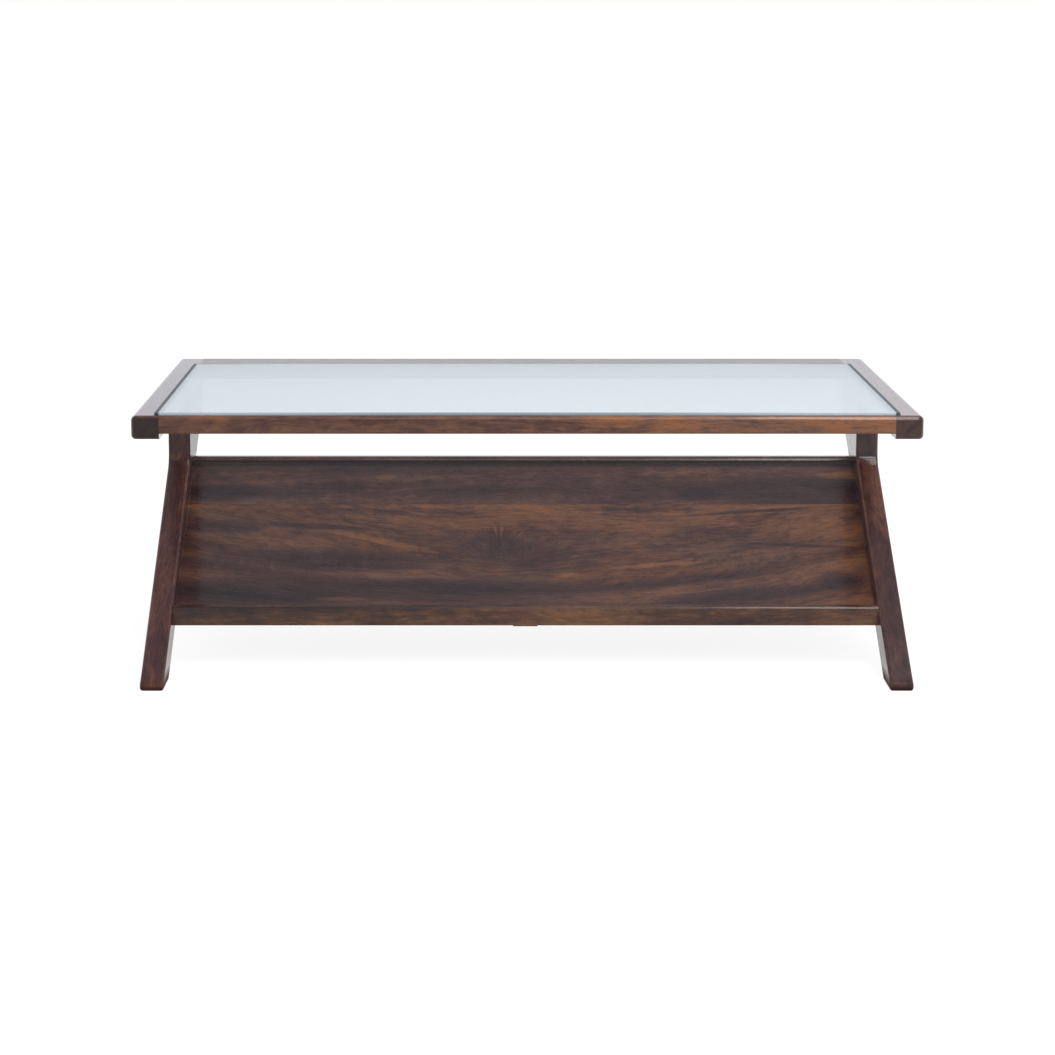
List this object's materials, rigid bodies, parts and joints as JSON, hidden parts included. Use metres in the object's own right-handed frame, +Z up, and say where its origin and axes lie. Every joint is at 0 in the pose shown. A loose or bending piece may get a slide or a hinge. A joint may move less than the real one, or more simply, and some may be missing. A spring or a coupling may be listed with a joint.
{
  "type": "coffee table",
  "caption": "Low rectangular coffee table: loose inset glass top on leaning wooden side frames, with a sloping magazine shelf between the legs.",
  "frame": {"origin": "on the floor, under the middle of the top frame", "axes": "+X along the table's length, -Y to the front where the shelf opens, +Z up"},
  "size_m": [1.2, 0.6, 0.432],
  "materials": {
    "top_frame_wood": "dark walnut stain, satin lacquer",
    "leg_wood": "dark walnut stain, satin lacquer",
    "shelf_wood": "dark walnut stain, satin lacquer, figured",
    "hidden_wood": "stained and oiled, not lacquered",
    "tenon_wood": "plain beech",
    "glass": "clear float glass with ground edges",
    "pad_plastic": "clear soft plastic",
    "screw_steel": "zinc plated"
  },
  "bodies": {
    "table": {"side_rail_left": "top_frame_wood", "side_rail_right": "top_frame_wood", "front_rail": "top_frame_wood", "back_rail": "top_frame_wood", "glass_pads": "pad_plastic", "head_left": "leg_wood", "head_right": "leg_wood", "front_leg_left": "leg_wood", "front_leg_right": "leg_wood", "rear_leg_left": "leg_wood", "rear_leg_right": "leg_wood", "shelf_bearer_left": "hidden_wood", "shelf_bearer_right": "hidden_wood", "ridge_rail": "shelf_wood", "lip_rail": "shelf_wood", "shelf_board_top": "shelf_wood", "shelf_board_bottom": "shelf_wood", "centre_batten": "hidden_wood", "knee_tenons": "tenon_wood", "bearer_leg_screws": "screw_steel", "bearer_board_screws": "screw_steel", "batten_screws": "screw_steel"},
    "glass": {"glass_pane": "glass"}
  },
  "joints": [
    {"name": "glass_lift", "type": "slide", "parent": "table", "child": "glass", "axis": [0, 0, 1], "range_m": [0, 0.05]}
  ]
}
